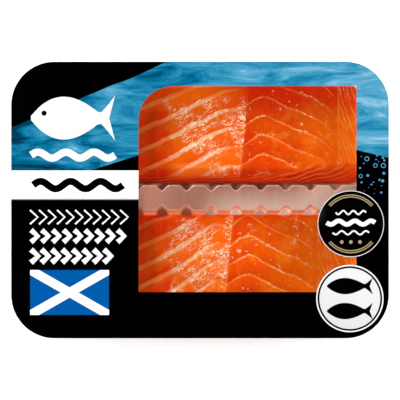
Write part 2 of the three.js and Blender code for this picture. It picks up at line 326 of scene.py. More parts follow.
def ridge_top_colour(place, x, y):
    streaks = place.scaled(300, 30, 1).noise(1, 2)
    # Painted shade at the left, painted light to the right and towards the front.
    lightness = y.step(7, -3.5, smooth=False) * x.step(-6, 19) + (streaks - 0.5) * 0.3
    flat = lightness.mix(RIDGE_SHADE, RIDGE_LIGHT)
    # Painted light at both ends, where the print's shadow falls on the ridge.
    flat = (x.step(-6, -29, smooth=False) ** 1.6).mix(flat, RIDGE_LEFT_PAINTED_LIGHT)
    return (x.step(44, 60) * 0.45).mix(flat, RIDGE_RIGHT_PAINTED_LIGHT)


def clear_tray_plastic():
    material, start = new_material("clear_tray_plastic")
    place, x, y, z = place_in_mm(start)
    ridge = abs(y - RIDGE_MIDDLE).step(14, 9)
    top = z.step(RIDGE_TOP - 0.7, RIDGE_TOP - 0.1)
    edge = z.step(RIDGE_TOP - 1.4, RIDGE_TOP - 0.5) * z.step(RIDGE_TOP - 0.01, RIDGE_TOP - 0.1)
    # Painted salmon light on the ridge's walls, with painted shade towards the foot.
    wall = z.step(6, 22).mix(WALL_FOOT_SHADE, WALL_HEAD_SALMON_LIGHT)
    colour = ridge.mix(CLEAR_SHEET, top.mix(wall, ridge_top_colour(place, x, y)))
    flutes = (x - FLUTE_ROW_MIDDLE) / FLUTE_PITCH
    past_flute = (flutes.maths("FRACT") - 0.5) * FLUTE_PITCH
    # A painted highlight on the rounded edge, brightest where a flute turns to the right.
    flank_highlight = past_flute.step(0.4, 1.5) * past_flute.step(4.5, 3.5) * (y.step(1, 4) * 0.7 + 0.3)
    flank_highlight = flank_highlight * (x.step(30, 0) * 0.6 + 0.4)
    colour = (edge * ridge * (flank_highlight * 0.45 + 0.45)).mix(colour, flank_highlight.mix(RIDGE_EDGE_HIGHLIGHT, BRIGHT_EDGE_HIGHLIGHT))
    glow = hollow_glow(place, x, y, z, past_flute)
    ripple = {"Strength": 0.12, "Distance": 0.3 * MM, "Height": place.noise(180, 2)}
    return finish_material(material, {
        "Base Color": colour,
        "Alpha": ridge * (top * 0.02 + 0.6) + 0.2,
        "Emission Color": (ridge * z.step(30.0, 28.6)).mix((0, 0, 0, 1), glow),
        "Emission Strength": 1.0,
        "Roughness": 0.14,
        "Normal": start.node("ShaderNodeBump", None, ripple),
    })


def clear_window_film():
    material, _ = new_material("clear_window_film")
    return finish_material(material, {
        "Base Color": (0.02, 0.02, 0.02, 1),
        "Alpha": 0.03,
        "Roughness": 0.08,
        "Specular IOR Level": 0.3,
    })


tray_plastic = clear_tray_plastic()
window_film = clear_window_film()
print("clear plastics", tray_plastic.name, window_film.name)

# %% [markdown]
# The fillets' pattern. A salmon's muscle is a stack of flakes with a thin sheet of fat between each
# two, and the cut shows those sheets as pale lines. One formula gives a line's course over the
# fillet, the same as in the CAD solids: it climbs from the belly to the seam along the fish's side,
# peaks just past it, falls over the loin and drops steeply at the back. Each bend is where the line
# turns, past the seam in mm, by how much its slope changes and how softly. The formula is stored on
# the piece as a UV map. Its u is the distance past the seam and its v counts flakes, so that whole
# numbers lie on the lines of fat, and both the relief and the colours are worked out from it. A
# second map holds the depth under the fillet's top, which tells the cut side from the top.
# %% Course of the fat lines
FILLETS = {
    "back": {
        "seam": 23.3,
        "first_line": 65.2,
        "line_gap": 10.9,
        "slope": 0.36,
        "bends": [
            (-39.4, 0.11, 3), (-10.7, -0.46, 2), (-2.1, 0.73, 0.8), (7.8, -1.24, 1.3),
            (25, 0.21, 3), (37.6, -0.81, 2.5), (45, -7, 0.7), (49.5, 5.9, 1.2),
        ],
    },
    "front": {
        "seam": 12.9,
        "first_line": -3.7,
        "line_gap": 10.1,
        "slope": 0.47,
        "bends": [
            (-21.1, 0.3, 3), (-3.4, -1.85, 2), (1, 1.76, 0.8), (11.4, -1.3, 1.3),
            (27.1, 0.29, 3), (40.8, -0.76, 2.5), (47, -7, 0.7), (52, 5.9, 1.2),
        ],
    },
}
LOIN_LINE_GAP = 9.5
TOP_PLACES = 160
TOP_REACH = 1.5
TOP_PERCENTILE = 97
CUT_BELOW = 1.2


def smooth_step(low, high, value):
    share = np.clip((value - low) / (high - low), 0, 1)
    return share * share * (3 - 2 * share)


def first_fat_line(past_seam, fillet):
    across = fillet["first_line"] + fillet["slope"] * past_seam
    for start, turn, softness in fillet["bends"]:
        across = across + turn * softness * np.logaddexp(0, (past_seam - start) / softness)
    return across


def line_gap(x, fillet):
    return fillet["line_gap"] + (LOIN_LINE_GAP - fillet["line_gap"]) * smooth_step(-40, 10, x)


def flake_count(points, fillet):
    """For points in mm: distance past the seam, flakes from the first line, depth under the top."""
    x, y, z = points.T
    places = np.linspace(x.min(), x.max(), TOP_PLACES)
    near = [z[np.abs(x - place) < TOP_REACH] for place in places]
    top = np.interp(x, places, [np.percentile(heights, TOP_PERCENTILE) for heights in near])
    depth = np.maximum(0, top - z - CUT_BELOW)
    past_seam = x - fillet["seam"]
    count = (y - first_fat_line(past_seam, fillet)) / line_gap(x, fillet)
    return past_seam, count, depth


for fillet in FILLETS.values():
    rise = first_fat_line(np.array([0.0, 9.0]), fillet)
    print("the first line rises", round(float(rise[1] - rise[0]), 1), "mm past the seam")

# %% [markdown]
# Modelling helpers. Operators work on whatever is selected, and a fresh primitive is selected all
# over, so every step begins with a clean selection.
# %% Modelling helpers
def select_only(piece):
    if bpy.context.mode != "OBJECT":
        bpy.ops.object.mode_set(mode="OBJECT")
    bpy.ops.object.select_all(action="DESELECT")
    piece.select_set(True)
    bpy.context.view_layer.objects.active = piece


def edit(piece, action="DESELECT"):
    select_only(piece)
    bpy.ops.object.mode_set(mode="EDIT")
    bpy.ops.mesh.select_all(action=action)


def end_edit():
    bpy.ops.object.mode_set(mode="OBJECT")


def flip(piece):
    edit(piece, "SELECT")
    bpy.ops.mesh.flip_normals()
    end_edit()


def join(pieces):
    select_only(pieces[0])
    for piece in pieces[1:]:
        piece.select_set(True)
    bpy.ops.object.join()
    return pieces[0]


def apply_modifier(piece, kind, **settings):
    select_only(piece)
    modifier = piece.modifiers.new(kind.lower(), kind)
    for name, value in settings.items():
        setattr(modifier, name, value)
    bpy.ops.object.modifier_apply(modifier=modifier.name)


def points_of(piece):
    flat = np.empty(len(piece.data.vertices) * 3)
    piece.data.vertices.foreach_get("co", flat)
    return flat.reshape(-1, 3)


def move_points(piece, points):
    piece.data.vertices.foreach_set("co", points.ravel())
    piece.data.update()


def put_in_pack(piece, material, slot, *replaced):
    piece.data.materials.clear()
    piece.data.materials.append(material)
    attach(piece, "root")
    if replaced:
        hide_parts(*replaced)
    return piece


print("helpers ready")

# %% [markdown]
# The relief of a fillet is worked out from the same formula, as a sculptor would lay it on with a
# brush: each flake swells towards its upper line and drops into a thin groove there, calmer in the
# band at the back. The belly side dips beside the seam, and slow random waves make the wet surface
# uneven. All heights are in mm.
# %% Relief of a fillet
FLAKE_SWELL = 0.12
FLAKE_CREST = 0.7
GROOVE_DEPTH = 0.1
LOIN_GROOVE_WIDTH = 0.6
BELLY_GROOVE_WIDTH = 1.3
WAVES = [(17.0, 0.08), (8.0, 0.05), (3.2, 0.03)]
HOLLOW_PAST = -18
HOLLOW_DEPTH = 1.0
HOLLOW_BELLY_WIDTH = 25
HOLLOW_SEAM_WIDTH = 11
BACK_BAND = (44, 49.8)
BACK_BAND_CALM = 0.8
SINES = 9


def wave_noise(points, length, seed):
    """Smooth random waves: the sum of a few sines in seeded directions."""
    draw = np.random.default_rng(seed)
    total = np.zeros(len(points))
    for _ in range(SINES):
        turn = draw.uniform(0, 2 * math.pi)
        size = length * draw.uniform(0.75, 1.35)
        phase = draw.uniform(0, 2 * math.pi)
        along = points[:, 0] * math.cos(turn) + points[:, 1] * math.sin(turn) + 0.6 * points[:, 2]
        total += np.sin(2 * math.pi * along / size + phase)
    return total / 3


def flake_relief(x, past_seam, count, fillet):
    share = count - np.floor(count)
    to_line = np.minimum(share, 1 - share) * line_gap(x, fillet)
    widening = BELLY_GROOVE_WIDTH - LOIN_GROOVE_WIDTH
    groove_width = LOIN_GROOVE_WIDTH + widening * smooth_step(5, -25, past_seam)
    crest = np.minimum(share / FLAKE_CREST, (1 - share) / (1 - FLAKE_CREST))
    relief = FLAKE_SWELL * (crest - 0.5) - GROOVE_DEPTH * np.exp(-((to_line / groove_width) ** 2))
    return relief * (1 - BACK_BAND_CALM * smooth_step(BACK_BAND[0] - 2, BACK_BAND[0], past_seam))


def belly_hollow(past_seam):
    width = np.where(past_seam < HOLLOW_PAST, HOLLOW_BELLY_WIDTH, HOLLOW_SEAM_WIDTH)
    return -HOLLOW_DEPTH * np.exp(-(((past_seam - HOLLOW_PAST) / width) ** 2))


print("the belly side dips", HOLLOW_DEPTH, "mm", -HOLLOW_PAST, "mm before the seam")

# %% [markdown]
# Each fillet starts as a copy of its CAD solid, because the solid already has the right form, room
# in its well and rounded cuts. Its corners are merged, it is remeshed into an even fine skin and
# smoothed, and then every point of the skin moves along its normal by the relief. The underside
# stays as it is, where the fillet lies on the tray.
# %% Fillets
VOXEL = 0.6 * MM


def store_map(piece, name, u, v):
    corners = np.empty(len(piece.data.loops), int)
    piece.data.loops.foreach_get("vertex_index", corners)
    flat = np.stack([u[corners], v[corners]], axis=1).ravel()
    piece.data.uv_layers.new(name=name).data.foreach_set("uv", flat)


def model_fillet(name, node, fillet, seed):
    piece = bpy.data.objects.new(name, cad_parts[node].data.copy())
    bpy.context.collection.objects.link(piece)
    edit(piece, "SELECT")
    bpy.ops.mesh.remove_doubles(threshold=0.01 * MM)
    end_edit()
    apply_modifier(piece, "REMESH", mode="VOXEL", voxel_size=VOXEL)
    apply_modifier(piece, "SMOOTH", factor=0.5, iterations=12)
    points = points_of(piece) / MM
    normals = np.array([vertex.normal[:] for vertex in piece.data.vertices])
    past_seam, count, depth = flake_count(points, fillet)
    up = smooth_step(-0.2, 0.5, normals[:, 2])
    waves = sum(size * wave_noise(points, length, seed + i) for i, (length, size) in enumerate(WAVES))
    lift = flake_relief(points[:, 0], past_seam, count, fillet) * (0.4 + 0.6 * up)
    lift += (waves + belly_hollow(past_seam)) * up
    height = points[:, 2] - points[:, 2].min()
    lift *= smooth_step(0.3, 3, height)
    move_points(piece, (points + normals * lift[:, None]) * MM)
    store_map(piece, "Flakes", past_seam, count)
    store_map(piece, "Cut", depth, np.zeros_like(depth))
    bpy.ops.object.shade_smooth()
    print(name, len(piece.data.polygons), "faces")
    return piece


salmon_back = model_fillet("salmon_back", "fillet_back", FILLETS["back"], 11)
salmon_front = model_fillet("salmon_front", "fillet_front", FILLETS["front"], 23)

# %% [markdown]
# Raw salmon. The flesh is a deep orange red, and the fat a paler tint of the same orange. One flat
# colour with lines on it would look like plastic, so the recipe is built in layers, in the parts
# below: the places on a fillet, the fat, the flesh, the wet flecks, which are painted highlights,
# and the cut side. The fillets lie in different light, which is painted into their colours, so each
# has its own numbers. A light of 1 keeps the colours as they are here, and the lengths are in mm on
# the pack.
# %% Salmon colours
# The deep and shaded flesh are painted shade, the far, lit and edge flesh painted light.
BROW_SHADE_FLESH = (0.66, 0.012, 0.001, 1)
RED_FLESH = (0.74, 0.038, 0.001, 1)
ORANGE_FLESH = (0.80, 0.160, 0.001, 1)
SHADED_FLESH = (0.45, 0.020, 0.001, 1)
FAR_LIT_FLESH = (1.0, 0.150, 0.001, 1)
LIT_FLESH = (1.0, 0.125, 0.001, 1)
PALE_FLESH = (1.0, 0.24, 0.02, 1)
FIRM_FLESH = (0.95, 0.06, 0.001, 1)
LEFT_END_LIT_FLESH = (1.0, 0.062, 0.001, 1)
BELLY_FAT = (0.95, 0.21, 0.04, 1)
LOIN_FAT = (1.0, 0.30, 0.05, 1)
CUT_FLESH = (0.85, 0.088, 0.002, 1)
CUT_FAT = (0.98, 0.27, 0.10, 1)
CUT_SHADE = (0.30, 0.008, 0.001, 1)
# The wet fleck colour is a painted highlight.
PAINTED_WET_GLINT = (0.98, 0.75, 0.50, 1)
BACK_LOOK = {
    "light": 0.96,
    "warmth": 0.3,
    "top_edge": 57,
    "foot": 7.7,
    "seam_crossing": 49.5,
    "glint_lean": 0.6,
    "stray_share": 0,
}
FRONT_LOOK = {
    "light": 1.19,
    "warmth": 0.38,
    "top_edge": 30,
    "foot": -59,
    "seam_crossing": -41.6,
    "glint_lean": 0,
    "stray_share": 0.08,
}


def tinted(colour, light):
    return (*[min(1, channel * light) for channel in colour[:3]], 1)


print("orange flesh of the front fillet", [round(c, 3) for c in tinted(ORANGE_FLESH, FRONT_LOOK["light"])])

# %% [markdown]
# The places on a fillet that the parts share. They come from the piece's own two maps and from its
# place in the pack, and noise makes the flakes and the seam wander a little, because nothing in a
# fish is drawn with a ruler. A small class keeps them together.
# %% Places on a fillet
SEAM_LEAN = 0.1


class FilletPlaces:
    def __init__(self, start, look):
        self.start, self.look = start, look
        self.place, self.x, self.y, self.z = place_in_mm(start)
        place = self.place
        self.past_seam, self.count, _ = start.node("ShaderNodeUVMap", {"uv_map": "Flakes"}).axes()
        self.depth = start.node("ShaderNodeUVMap", {"uv_map": "Cut"}).axes()[0]
        wander = (place.noise(110, 3) - 0.5) * (self.past_seam.step(-2, 4) * 0.2 + 0.2)
        self.flakes = self.count + wander + (place.noise(500, 2) - 0.5) * 0.1
        self.share = self.flakes.maths("FRACT")
        self.belly = self.past_seam.step(4, -22)
        self.end = self.past_seam.step(46.8, 48.5)
        lean = (self.y - look["seam_crossing"]) * SEAM_LEAN
        self.to_seam = self.past_seam - lean + (place.noise(90, 2) - 0.5) * 1.5
        self.lit_from = self.x + (place.noise(55, 2) - 0.5) * 22
        self.patch = place.noise(85, 2).step(0.42, 0.58)


print("the seam leans by", round(math.degrees(math.atan(SEAM_LEAN)), 1), "degrees")

# %% [markdown]
# The fat lies in sheets between the flakes, so its mask is the distance to the nearest whole number
# of flakes. The lines are broad and soft over the belly and thin over the loin. At the back the
# cut meets the sheets almost along their faces: they end at one upright line, and steep streaks
# follow it.
# %% Fat
FLAKE_GAP = 9.8
BACK_LINE = 46.3
STREAK_GAP = 7
STREAK_SLOPE = 3.7


def fat_mask(fish):
    place, past_seam = fish.place, fish.past_seam
    to_line = abs(fish.share - 0.5) * -FLAKE_GAP + FLAKE_GAP / 2
    broad = 0.44 + fish.belly * 0.67 + fish.end * 0.15
    soft = 0.42 - fish.belly * 0.14
    band = past_seam.step(BACK_BAND[0] - 0.5, BACK_BAND[0])
    band = band * past_seam.step(BACK_BAND[1] + 0.6, BACK_BAND[1])
    back_line = past_seam + (place.noise(60, 2) - 0.5) * 1.5 - BACK_LINE
    back_line = abs(back_line).step(0.75, 0.25) * place.noise(75, 3).step(0.4, 0.6)
    fat = to_line.step(broad + soft, broad - soft) * (1 - band) + back_line * 0.8
    streaks = (fish.y + past_seam * STREAK_SLOPE) / STREAK_GAP + (place.noise(70, 2) - 0.5) * 1.8
    streak = abs(streaks.maths("FRACT") - 0.5).step(0.26, 0.44)
    streak = streak * past_seam.step(45.6, 47.6) * place.noise(75, 2).step(0.36, 0.6)
    return fat.maths("MAXIMUM", streak)


print("steep streaks every", STREAK_GAP, "mm")

# %% [markdown]
# The flesh turns brighter and yellower towards the upper side of each flake, which is partly its own
# colour and partly painted shade of the stepped flakes. It is mottled over the loin and pale at the
# foot of the upper fillet. Lit and shaded copies of the flesh paint the light: painted light on the
# belly side, at the top left corner, towards the back end and at the left end, and painted shade
# past the seam, where the flesh turns away from the lamp, and along the brow of the upper fillet, the
# edge under the print. The shaded places are painted redder too. Layers with a mask each are easier
# to steer than one formula, so the colours are laid one over the other like glazes, and the fat goes
# on last.
# %% Flesh and the top side
def flesh_colour(fish, brow_shade):
    place, past_seam, to_seam, look = fish.place, fish.past_seam, fish.to_seam, fish.look
    # Painted shade: the flesh is made redder past the seam and on the belly side at the left.
    shade_reddening = to_seam.step(-1, 2) * past_seam.step(34, 8) * 0.35 + fish.lit_from.step(-10, -18) * 0.6
    fibres = {"X": past_seam, "Y": fish.count * 0.7}
    fibres = fish.start.node("ShaderNodeCombineXYZ", None, fibres).noise(1.5, 2)
    grain = (place.noise(60, 3) - 0.5) * 1.3 + (place.noise(320, 2) - 0.5) * 0.5
    # The flake term is partly the flesh's own colour and partly painted shade of the stepped flakes.
    warm = (fibres - 0.5) * 0.6 + (fish.share - 0.5) * (0.2 + fish.belly * 0.5) + grain
    warm = warm + 0.35 + look["warmth"] - shade_reddening
    mottle = place.noise(170, 3)
    loin = past_seam.step(0, 15) * 0.4
    # Painted light on the belly side and at the top left corner.
    lit_top_left = fish.y.step(look["top_edge"] - 14, look["top_edge"] - 8)
    lit = fish.lit_from.step(-19, -10).maths("MAXIMUM", lit_top_left)
    pale_foot = fish.y.step(look["foot"] + 12, look["foot"] + 9)
    pale_foot = pale_foot * fish.x.step(-19, -9) * fish.x.step(15, 5)
    # Painted shade past the seam and along the brow, painted light at both ends and on the belly side.
    layers = [
        (to_seam.step(-1, 2) * past_seam.step(46, 28) * 0.25, SHADED_FLESH),
        (past_seam.step(22, 42) * 0.8, FAR_LIT_FLESH),
        (mottle.step(0.46, 0.74) * loin, PALE_FLESH),
        (mottle.step(0.54, 0.3) * loin, FIRM_FLESH),
        (lit * to_seam.step(1, -1) * 0.4, LIT_FLESH),
        (fish.x.step(-23, -30) * 0.8, LEFT_END_LIT_FLESH),
        (brow_shade * 0.85, BROW_SHADE_FLESH),
        (pale_foot * 0.75, PALE_FLESH),
    ]
    flesh = warm.mix(tinted(RED_FLESH, look["light"]), tinted(ORANGE_FLESH, look["light"]))
    for mask, colour in layers:
        flesh = mask.mix(flesh, colour)
    return flesh


def top_side(fish, fat):
    belly, past_seam, look = fish.belly, fish.past_seam, fish.look
    # Painted shade along the brow, the edge of the upper fillet under the print; the fat fades in it too.
    brow_shade = fish.y + (fish.place.noise(50, 2) - 0.5) * 7
    brow_shade = brow_shade.step(look["top_edge"] - 20, look["top_edge"] - 4) * fish.x.step(8, 30)
    fat_colour = belly.mix(tinted(LOIN_FAT, look["light"]), tinted(BELLY_FAT, look["light"]))
    faint = past_seam.step(-16, -6) * past_seam.step(5, 1)
    broken = fish.place.noise(130, 2).step(0.3, 0.68)
    strength = fat * (belly * 0.2 + broken * 0.45 + fish.end * 0.1 + 0.35)
    strength = strength * (1 - faint * 0.4) * (1 - brow_shade * 0.5)
    return strength.mix(flesh_colour(fish, brow_shade), fat_colour)


print("the flesh runs from", BROW_SHADE_FLESH[:3], "to", PALE_FLESH[:3])

# %% [markdown]
# Wet flecks. The wet surface breaks the light into small pale flecks: crests and short strokes that
# lie along the flakes, dots near the seam, at which they end, and a few strays over the loin. They
# are painted highlights, a mask for a pale colour, because a bumpy gloss that is strong enough for
# them turns the flesh around them grey. The pale shine on the fat and the thin line along the seam
# are painted highlights too.
# %% Wet flecks
def painted_wet_glints(fish, fat):
    place, past_seam, to_seam, look = fish.place, fish.past_seam, fish.to_seam, fish.look
    lit_from, top_edge, stray_share = fish.lit_from, look["top_edge"], look["stray_share"]
    below_brow = fish.y.step(top_edge - 4, top_edge - 9)
    near_seam = to_seam.step(-10, -3)
    along_flakes = {"X": past_seam * 0.5, "Y": fish.flakes * FLAKE_GAP}
    along_flakes = fish.start.node("ShaderNodeCombineXYZ", None, along_flakes)
    strokes = along_flakes.noise(1.0, 1, 0.5, 1.2).step(0.55, 0.63)
    dots = place.noise(850, 1, 0.5, 1.2).step(0.55, 0.62)
    dots = dots * near_seam + strokes * (1 - near_seam)
    crests = abs(along_flakes.noise(0.34, 1, 0.5, 1.2) - 0.5).step(0.035, 0.012)
    crests = crests * place.noise(240, 1).step(0.42, 0.56)
    area = (lit_from - (top_edge - 10 - fish.y) * look["glint_lean"]).step(-17, -12)
    seam_glints = abs(to_seam + 1.6).step(2.4, 1.0) * place.noise(150, 1).step(0.4, 0.54)
    wet = area * fish.patch * 0.75 + lit_from.step(-17, -12) * fat * 0.35
    wet = to_seam.step(0.9, 0) * wet + seam_glints * 0.6
    line_glints = fat * past_seam.step(3, 8) * (1 - fish.end * 0.6)
    line_glints = line_glints * place.noise(120, 1).step(0.48 - stray_share, 0.58 - stray_share)
    up_from_seam = fish.y.step(look["seam_crossing"] + 8, look["seam_crossing"] + 18)
    stray_from = 0.64 - up_from_seam * stray_share
    strays = place.noise(260, 1).step(stray_from, stray_from + 0.08)
    strays = strays * to_seam.step(0, 2) * past_seam.step(48, 40)
    shine = fat * lit_from.step(-19, -11) * past_seam.step(-4, -14) * below_brow
    shine = shine * place.noise(70, 2).step(0.25, 0.5)
    seam_line = abs(to_seam).step(0.4, 0.1) * below_brow
    flecks = (dots + crests) * wet * below_brow + dots * (strays + line_glints) * 0.6
    return flecks + shine * 0.36 + seam_line * 0.08


print("flecks are", PAINTED_WET_GLINT[:3])

# %% [markdown]
# The cut side, which faces the ridge, is darker than the top and has slanting streaks of its own,
# pale where the cut runs through fat and dark in the gaps. It is found by the depth under the
# fillet's top, and on the upper fillet also by how near its foot is.
# %% Cut side
CUT_LINE_RISE = 0.2
CUT_LINE_GAP = 4.2


def cut_side(fish):
    x, y, place = fish.x, fish.y, fish.place
    rise = x * CUT_LINE_RISE + x.step(5, 85) * 13
    share = ((y + fish.z - rise) / CUT_LINE_GAP + (place.noise(75, 3) - 0.5) * 2.2).maths("FRACT")
    line = share.step(0.0, 0.25) * share.step(0.55, 0.3) * place.noise(100, 2).step(0.25, 0.6)
    gap = share.step(0.62, 0.78) * share.step(0.98, 0.86) * place.noise(90, 2).step(0.4, 0.6)
    streaky = x.step(82, 60)
    colour = (line * streaky * (x.step(-50, 40) * 0.3 + 0.35)).mix(CUT_FLESH, CUT_FAT)
    return (gap * streaky * 0.75).mix(colour, CUT_SHADE)


def cut_side_mask(fish):
    reach = fish.x.step(15, 70) * 7.5 + fish.look["foot"] + 3 + (fish.place.noise(70, 2) - 0.5) * 4
    return fish.depth.step(1.2, 4).maths("MAXIMUM", fish.y.step(reach + 1.5, reach - 1.5))


print("cut side streaks every", CUT_LINE_GAP, "mm")

# %% [markdown]
# The parts come together here: fat over flesh, flecks over both, and the cut side round them. Light
# enters the flesh a little, which softens it, and the gloss stays low, because the flecks already
# stand for the wet surface's shine.
# %% Salmon material
def salmon_flesh(name, look):
    material, start = new_material(name)
    fish = FilletPlaces(start, look)
    fat = fat_mask(fish)
    # Painted highlights of the wet surface lie over the top side.
    top = painted_wet_glints(fish, fat).mix(top_side(fish, fat), PAINTED_WET_GLINT)
    grain = fish.place.noise(760, 0, 0.5, 1.4)
    height = grain * (fish.patch * 0.3 + 0.7) + fish.place.noise(160, 0) * 0.5
    bump = {"Strength": 1.0, "Distance": 0.17 * MM, "Height": height}
    return finish_material(material, {
        "Base Color": cut_side_mask(fish).mix(top, cut_side(fish)),
        "Roughness": 0.08,
        "Specular IOR Level": 0.012,
        "Subsurface Weight": 0.25,
        "Subsurface Radius": (1.0, 0.35, 0.12),
        "Subsurface Scale": 2.0 * MM,
        "Normal": start.node("ShaderNodeBump", None, bump),
    })


flesh_back = salmon_flesh("raw_salmon_back", BACK_LOOK)
flesh_front = salmon_flesh("raw_salmon_front", FRONT_LOOK)
put_in_pack(salmon_back, flesh_back, "salmon", "fillet_back")
put_in_pack(salmon_front, flesh_front, "salmon", "fillet_front")
print("salmon recipes of", [len(flesh.node_tree.nodes) for flesh in (flesh_back, flesh_front)], "nodes")

# %% [markdown]
# The tray is one thermoformed sheet, so it is modelled as a surface that gets its thickness at the
# end. Every level of a well is a ring: a rounded rectangle whose sides bulge in flutes. A circle with
# as many corners as the ring is reshaped into the highest level and extruded from level to level down
# to the floor, which is filled. Real flutes have no sharp corners, so their profile is a smooth
# swell, and the upper edge turns over in a small round.
# %% Tray rings
PACK_LENGTH = 187
PACK_WIDTH = 137
PACK_CORNER = 21.5
WELLS = {"back": (7.25, 59.1), "front": (-59.1, -5.05)}
WELL_HALF_LENGTH = 84.1
WELL_CORNER = 9
LEAN = {"back": 0, "front": 1.3}
LEAN_HEIGHT = 5
FLUTE_WIDTH = 7.1
FLUTE_DEPTH = 2.5
FLUTE_SHARES = np.linspace(-1, 1, 13)
FLUTES_ALONG = FLUTE_ROW_MIDDLE + (np.arange(12) - 5.5) * FLUTE_PITCH
CORNER_STEPS = 9


def arc(x, y, radius, start, end, steps):
    """Points of an arc; start and end are in quarter turns."""
    angles = np.linspace(start, end, steps) * math.pi / 2
    return [(x + radius * math.cos(angle), y + radius * math.sin(angle)) for angle in angles]


def well_ring(well, z, inset, over=0, flute=FLUTE_DEPTH, corner=WELL_CORNER):
    """One level of a well, anticlockwise from the left end of its front side. over widens it
    towards the ridge only."""
    front = WELLS[well][0] + inset - (over if well == "back" else 0)
    lean = LEAN[well] * min(1, (RIDGE_TOP - z) / LEAN_HEIGHT)
    back = WELLS[well][1] - lean - inset + (over if well == "front" else 0)
    end = WELL_HALF_LENGTH - inset
    radius = max(corner - inset, 2)
    across = sum(WELLS[well]) / 2 + np.array([-0.5, 0.5]) * FLUTE_PITCH
    ring = []
    for side in range(4):
        way = 1 if side < 2 else -1
        for centre in (across if side % 2 else FLUTES_ALONG)[::way]:
            for share in FLUTE_SHARES:
                s = centre + way * share * FLUTE_WIDTH / 2
                out = flute * float(smooth_step(1, 0.1, abs(share)))
                ring.append([(s, front - out), (end + out, s), (s, back + out), (-end - out, s)][side])
        x = (end - radius) * way
        y = back - radius if side in (1, 2) else front + radius
        ring += arc(x, y, radius, side - 1, side, CORNER_STEPS)
    return ring


def pack_ring(inset):
    """One level of the pack's outline."""
    radius = PACK_CORNER - inset
    x, y = PACK_LENGTH / 2 - PACK_CORNER, PACK_WIDTH / 2 - PACK_CORNER
    corners = [(x, -y), (x, y), (-x, y), (-x, -y)]
    ring = []
    for side, middle in enumerate(corners):
        ring += arc(*middle, radius, side - 1, side, 2 * CORNER_STEPS)
    return ring


print("a well's ring has", len(well_ring("back", RIDGE_TOP, 0)), "corners")

# %% [markdown]
# Growing a surface ring by ring. Extruding without a shift leaves each new corner on its old one,
# so a search tree over the old ring tells which corner of the next ring it has to become.
# %% Skin through rings
def start_ring(name, ring, z):
    bpy.ops.mesh.primitive_circle_add(vertices=len(ring), fill_type="NOTHING")
    piece = bpy.context.object
    piece.name = name
    for vertex, (x, y) in zip(piece.data.vertices, ring):
        vertex.co = Vector((x, y, z)) * MM
    return piece


def grow_ring(piece, old, new):
    """Extrude the loop at old, a pair of ring and z, and move it to new."""
    tree = KDTree(len(old[0]))
    for index, (x, y) in enumerate(old[0]):
        tree.insert(Vector((x, y, old[1])) * MM, index)
    tree.balance()
    bpy.ops.object.mode_set(mode="EDIT")
    bpy.ops.mesh.extrude_region_move()
    end_edit()
    for vertex in piece.data.vertices:
        if vertex.select:
            x, y = new[0][tree.find(vertex.co)[1]]
            vertex.co = Vector((x, y, new[1])) * MM


def skin(name, levels, fill=False):
    piece = start_ring(name, *levels[0])
    for old, new in zip(levels, levels[1:]):
        grow_ring(piece, old, new)
    if fill:
        bpy.ops.object.mode_set(mode="EDIT")
        bpy.ops.mesh.edge_face_add()
        end_edit()
    return piece


print("skins grow from a ring")

# %% [markdown]
# The levels. A well's edge turns over in a small round, its wall leans inwards by the draft that
# lets a formed tray leave its mould, and its floor stands a little higher inside a narrow foot. The
# rim rises from the ledge, rounds over under the film and ends in a short lip outside.
# %% Wells and rim
RIM_TOP = 36
RIM_WIDTH = 6.5
DRAFT = math.tan(math.radians(1.5))
PANEL_CORNER = 11


def well_levels(well):
    def wall(z, extra=0, over=0):
        return well_ring(well, z, (RIDGE_TOP - z) * DRAFT + extra, over), z

    edge = [wall(RIDGE_TOP, -0.2, 0.65), wall(30.997, -0.16, 0.5), wall(30.9, -0.06, 0.15), wall(30.65)]
    side = [wall(30.3), wall(26), wall(19), wall(12), wall(5), wall(3.4, 0.15)]
    foot = [wall(1.9, 0.7), wall(1.0, 1.5), wall(0.6, 2.4)]
    rise = [(5.6, 0.6), (6.5, 0.9), (7.2, 1.65), (8, 1.8)]
    panel = [(well_ring(well, z, inset, 0, 0, PANEL_CORNER), z) for inset, z in rise]
    return edge + side + foot + panel


def rim_levels():
    root = [(RIM_WIDTH + 0.07, RIDGE_TOP), (RIM_WIDTH + 0.02, RIDGE_TOP + 0.06)]
    inside = [(RIM_WIDTH, RIDGE_TOP + 0.5), (RIM_WIDTH, RIM_TOP - 0.6), (RIM_WIDTH - 0.15, RIM_TOP - 0.15)]
    over = [(RIM_WIDTH - 0.5, RIM_TOP), (0.5, RIM_TOP), (0.15, RIM_TOP - 0.15)]
    outside = [(0, RIM_TOP - 0.5), (0, RIM_TOP - 2)]
    return [(pack_ring(inset), z) for inset, z in root + inside + over + outside]


wells = [skin("well_" + well, well_levels(well), fill=True) for well in WELLS]
rim = skin("tray_rim", rim_levels())
print("skins", [len(piece.data.polygons) for piece in (*wells, rim)])

# %% [markdown]
# The flat ridge and ledge lie between three loops at one height: the two wells' upper edges and the
# rim wall's foot. Once the skins are joined, those loops are selected and Fill spans them. Solidify
# then thickens the sheet away from the food.
# %% Tray
SHEET = 0.6
FLOOR_LEAST_CORNERS = 100


def fill_ledge(piece):
    edit(piece)
    end_edit()
    level = [abs(vertex.co.z - RIDGE_TOP * MM) < 1e-6 for vertex in piece.data.vertices]
    for edge in piece.data.edges:
        edge.select = all(level[index] for index in edge.vertices)
    bpy.ops.object.mode_set(mode="EDIT")
    bpy.ops.mesh.select_mode(type="EDGE")
    bpy.ops.mesh.fill()
    bpy.ops.mesh.select_mode(type="VERT")
    bpy.ops.mesh.select_all(action="SELECT")
    bpy.ops.mesh.normals_make_consistent(inside=False)
    end_edit()


